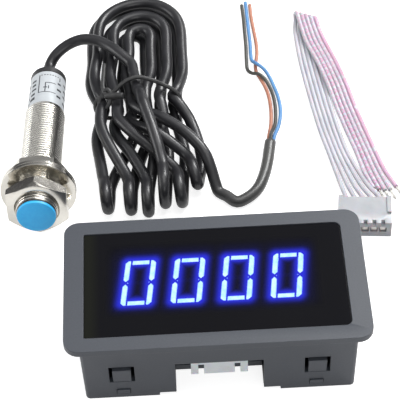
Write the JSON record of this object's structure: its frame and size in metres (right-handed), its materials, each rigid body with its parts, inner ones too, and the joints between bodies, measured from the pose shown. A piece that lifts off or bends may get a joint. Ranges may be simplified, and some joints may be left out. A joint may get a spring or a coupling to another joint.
{
  "type": "digital tachometer",
  "caption": "Panel tachometer with a blue digital readout, a threaded proximity sensor on a tied cable, and a loose plug harness.",
  "frame": {"origin": "centre of the panel meter's flat rear face, which lies on the table", "axes": "+X to the right along the readout, +Y towards the top of the digits, +Z straight out of the readout's face"},
  "size_m": [0.1152, 0.1527, 0.024],
  "materials": {
    "case_plastic": "moulded, fine satin grain",
    "smoked_pane": "polished, dark smoked",
    "display_plastic": "moulded, dull",
    "light_guide": "clear, lit blue-white",
    "circuit_board": "green solder mask",
    "white_plastic": "moulded, slightly translucent",
    "tinned_metal": "bright tin",
    "chip_plastic": "moulded, dull black",
    "capacitor_aluminium": "drawn can",
    "nickel_brass": "nickel plated",
    "blue_plastic": "moulded, satin",
    "silver_label": "printed silver film",
    "black_plastic": "moulded, satin black",
    "red_lamp": "clear red",
    "black_cable": "extruded PVC sheath",
    "brown_wire": "extruded PVC",
    "blue_wire": "extruded PVC",
    "ribbon_wire": "extruded PVC, pale"
  },
  "bodies": {
    "tachometer_set": {"black_wire": "black_cable", "blue_wire": "blue_wire", "brown_wire": "brown_wire", "cable_tie": "black_plastic", "case_shell": "case_plastic", "digit_light_guide_1": "light_guide", "digit_light_guide_2": "light_guide", "digit_light_guide_3": "light_guide", "digit_light_guide_4": "light_guide", "display_housing": "display_plastic", "hall_element": "chip_plastic", "harness_wire_1": "ribbon_wire", "harness_wire_2": "ribbon_wire", "harness_wire_3": "ribbon_wire", "harness_wire_4": "ribbon_wire", "harness_wire_5": "ribbon_wire", "header_pin_1": "tinned_metal", "header_pin_2": "tinned_metal", "header_pin_3": "tinned_metal", "header_pin_4": "tinned_metal", "header_pin_5": "tinned_metal", "main_board": "circuit_board", "microcontroller": "chip_plastic", "plug_housing": "white_plastic", "plug_terminal_1": "tinned_metal", "plug_terminal_2": "tinned_metal", "plug_terminal_3": "tinned_metal", "plug_terminal_4": "tinned_metal", "plug_terminal_5": "tinned_metal", "rear_cover": "case_plastic", "sensing_cap": "blue_plastic", "sensor_barrel": "nickel_brass", "sensor_board": "circuit_board", "sensor_cable_hank": "black_cable", "sensor_cable_lead": "black_cable", "sensor_cable_tail": "black_cable", "sensor_end_cap": "black_plastic", "sensor_label": "silver_label", "smoothing_capacitor": "capacitor_aluminium", "status_lamp": "red_lamp", "tinned_wire_end_1": "tinned_metal", "tinned_wire_end_2": "tinned_metal", "tinned_wire_end_3": "tinned_metal", "tinned_wire_end_4": "tinned_metal", "tinned_wire_end_5": "tinned_metal", "voltage_regulator": "chip_plastic", "window_pane": "smoked_pane", "wire_header": "white_plastic"},
    "clip_lower_left": {"panel_clip_lower_left": "case_plastic"},
    "clip_lower_right": {"panel_clip_lower_right": "case_plastic"},
    "clip_upper_left": {"panel_clip_upper_left": "case_plastic"},
    "clip_upper_right": {"panel_clip_upper_right": "case_plastic"},
    "front_washer": {"front_tooth_washer": "nickel_brass"},
    "front_nut": {"front_lock_nut": "nickel_brass"},
    "rear_washer": {"rear_tooth_washer": "nickel_brass"},
    "rear_nut": {"rear_lock_nut": "nickel_brass"}
  },
  "joints": [
    {"name": "clip_lower_left_flex", "type": "hinge", "parent": "tachometer_set", "child": "clip_lower_left", "pos_m": [-0.0254, -0.01793, 0.0071], "axis": [-1, 0, 0], "range_deg": [0, 7], "stiffness_Nm_per_rad": 0.25},
    {"name": "clip_lower_right_flex", "type": "hinge", "parent": "tachometer_set", "child": "clip_lower_right", "pos_m": [0.0254, -0.01793, 0.0071], "axis": [-1, 0, 0], "range_deg": [0, 7], "stiffness_Nm_per_rad": 0.25},
    {"name": "clip_upper_left_flex", "type": "hinge", "parent": "tachometer_set", "child": "clip_upper_left", "pos_m": [-0.0254, 0.01793, 0.0071], "axis": [1, 0, 0], "range_deg": [0, 7], "stiffness_Nm_per_rad": 0.25},
    {"name": "clip_upper_right_flex", "type": "hinge", "parent": "tachometer_set", "child": "clip_upper_right", "pos_m": [0.0254, 0.01793, 0.0071], "axis": [1, 0, 0], "range_deg": [0, 7], "stiffness_Nm_per_rad": 0.25},
    {"name": "front_washer_slide", "type": "slide", "parent": "tachometer_set", "child": "front_washer", "axis": [-0.0328, -0.9935, 0.1086], "range_m": [0, 0.002]},
    {"name": "front_nut_turn", "type": "hinge", "parent": "front_washer", "child": "front_nut", "pos_m": [-0.04824, 0.03994, 0.01143], "axis": [-0.0328, -0.9935, 0.1086], "range_deg": [0, 720]},
    {"name": "rear_washer_slide", "type": "slide", "parent": "tachometer_set", "child": "rear_washer", "axis": [0.0328, 0.9935, -0.1086], "range_m": [0, 0.027]},
    {"name": "rear_nut_turn", "type": "hinge", "parent": "rear_washer", "child": "rear_nut", "pos_m": [-0.04794, 0.04898, 0.01044], "axis": [0.0328, 0.9935, -0.1086], "range_deg": [0, 9720]}
  ],
  "couplings": [
    {"joint": "front_washer_slide", "follows": "front_nut_turn", "m_per_rad": 0.00015915},
    {"joint": "rear_washer_slide", "follows": "rear_nut_turn", "m_per_rad": 0.00015915}
  ]
}
